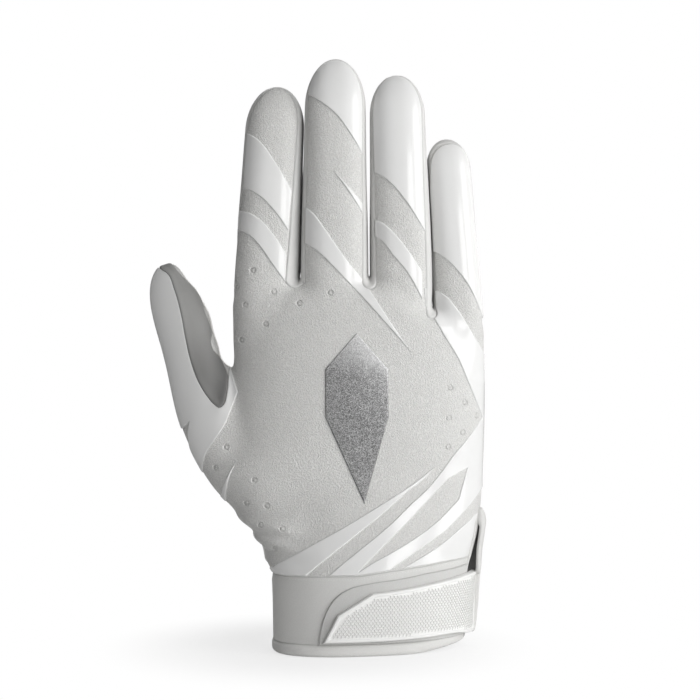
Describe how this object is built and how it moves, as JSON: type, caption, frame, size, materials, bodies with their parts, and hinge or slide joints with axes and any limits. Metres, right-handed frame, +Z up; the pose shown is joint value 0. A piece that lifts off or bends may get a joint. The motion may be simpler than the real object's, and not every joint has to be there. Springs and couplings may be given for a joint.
{
  "type": "football glove",
  "caption": "Receiver's glove for the right hand, standing on its cuff: jointed fingers and thumb, gloss films, wrist strap.",
  "frame": {"origin": "middle of the bounding box at its bottom, on the cuff's rim", "axes": "+Z up along the fingers, -Y out of the back of the hand, -X towards the thumb"},
  "size_m": [0.1336, 0.0593, 0.2312],
  "materials": {
    "fabric": "fine grained synthetic, matt, pale grey",
    "wall": "smooth stretch knit, matt",
    "grip": "tacky palm coating on fabric, satin",
    "gloss": "laminated film, glossy white",
    "glitter": "laminated film with silver glitter",
    "cuff": "soft knit band, matt",
    "moulded": "moulded strap, satin white",
    "hookloop": "hook and loop tape"
  },
  "bodies": {
    "hand": {"back_panel": "fabric", "palm_panel": "grip", "thumb_web": "wall", "web_index_middle": "wall", "web_middle_ring": "wall", "web_ring_little": "wall", "cuff_back": "cuff", "cuff_palm": "cuff", "cuff_lining": "cuff", "hem": "cuff", "loop_pad": "hookloop", "vent_binding": "cuff", "film_side": "gloss", "film_corner": "gloss", "film_wrist": "gloss", "film_knuckle": "gloss", "film_thumb": "gloss", "badge": "glitter"},
    "thumb": {"thumb_back": "gloss", "thumb_gusset": "wall", "thumb_palm": "grip"},
    "wrist_strap": {"strap": "moulded", "strap_hooks": "hookloop"},
    "index_root": {"index_root_back": "fabric", "index_root_palm": "grip", "index_root_wall_left": "wall", "index_root_wall_right": "wall", "film_index_lower": "gloss"},
    "index_end": {"index_end_back": "fabric", "index_end_palm": "grip", "index_end_wrap": "wall", "film_index_upper": "gloss"},
    "middle_root": {"middle_root_back": "fabric", "middle_root_palm": "grip", "middle_root_wall_left": "wall", "middle_root_wall_right": "wall", "film_middle_root": "gloss"},
    "middle_end": {"middle_end_back": "fabric", "middle_end_palm": "grip", "middle_end_wrap": "wall", "film_middle_tip": "gloss"},
    "ring_root": {"ring_root_back": "fabric", "ring_root_palm": "grip", "ring_root_wall_left": "wall", "ring_root_wall_right": "wall", "film_ring_root": "gloss"},
    "ring_end": {"ring_end_back": "fabric", "ring_end_palm": "grip", "ring_end_wrap": "wall", "film_ring_tip": "gloss"},
    "little_root": {"little_root_back": "fabric", "little_root_palm": "grip", "little_root_wall_left": "wall", "little_root_wall_right": "wall", "film_little_root": "gloss"},
    "little_end": {"little_end_back": "fabric", "little_end_palm": "grip", "little_end_wrap": "wall", "film_little_tip": "gloss"}
  },
  "joints": [
    {"name": "index_base_hinge", "type": "hinge", "parent": "hand", "child": "index_root", "pos_m": [-0.01951, 0.01299, 0.14999], "axis": [-0.9992, 0, 0.0401], "range_deg": [0, 75], "stiffness_Nm_per_rad": 0.03},
    {"name": "index_middle_hinge", "type": "hinge", "parent": "index_root", "child": "index_end", "pos_m": [-0.01853, 0.01361, 0.17445], "axis": [-0.9992, 0, 0.0401], "range_deg": [0, 85], "stiffness_Nm_per_rad": 0.03},
    {"name": "middle_base_hinge", "type": "hinge", "parent": "hand", "child": "middle_root", "pos_m": [0.00699, 0.01117, 0.15], "axis": [-1, 0, -0.0044], "range_deg": [0, 75], "stiffness_Nm_per_rad": 0.03},
    {"name": "middle_middle_hinge", "type": "hinge", "parent": "middle_root", "child": "middle_end", "pos_m": [0.00686, 0.01179, 0.17888], "axis": [-1, 0, -0.0044], "range_deg": [0, 85], "stiffness_Nm_per_rad": 0.03},
    {"name": "ring_base_hinge", "type": "hinge", "parent": "hand", "child": "ring_root", "pos_m": [0.0331, 0.01158, 0.15], "axis": [-0.9999, 0, -0.0143], "range_deg": [0, 75], "stiffness_Nm_per_rad": 0.03},
    {"name": "ring_middle_hinge", "type": "hinge", "parent": "ring_root", "child": "ring_end", "pos_m": [0.03272, 0.01221, 0.17628], "axis": [-0.9999, 0, -0.0143], "range_deg": [0, 85], "stiffness_Nm_per_rad": 0.03},
    {"name": "little_base_hinge", "type": "hinge", "parent": "hand", "child": "little_root", "pos_m": [0.05539, 0.01327, 0.13949], "axis": [-0.9988, 0, -0.0488], "range_deg": [0, 75], "stiffness_Nm_per_rad": 0.03},
    {"name": "little_middle_hinge", "type": "hinge", "parent": "little_root", "child": "little_end", "pos_m": [0.0544, 0.01395, 0.1597], "axis": [-0.9988, 0, -0.0488], "range_deg": [0, 85], "stiffness_Nm_per_rad": 0.03},
    {"name": "thumb_hinge", "type": "hinge", "parent": "hand", "child": "thumb", "pos_m": [-0.04709, 0.02052, 0.12377], "axis": [-0.8783, 0.3429, -0.3331], "range_deg": [0, 50], "stiffness_Nm_per_rad": 0.03},
    {"name": "strap_hinge", "type": "hinge", "parent": "hand", "child": "wrist_strap", "pos_m": [0.06366, 0.00382, 0], "axis": [0, 0, 1], "range_deg": [0, 105]}
  ]
}
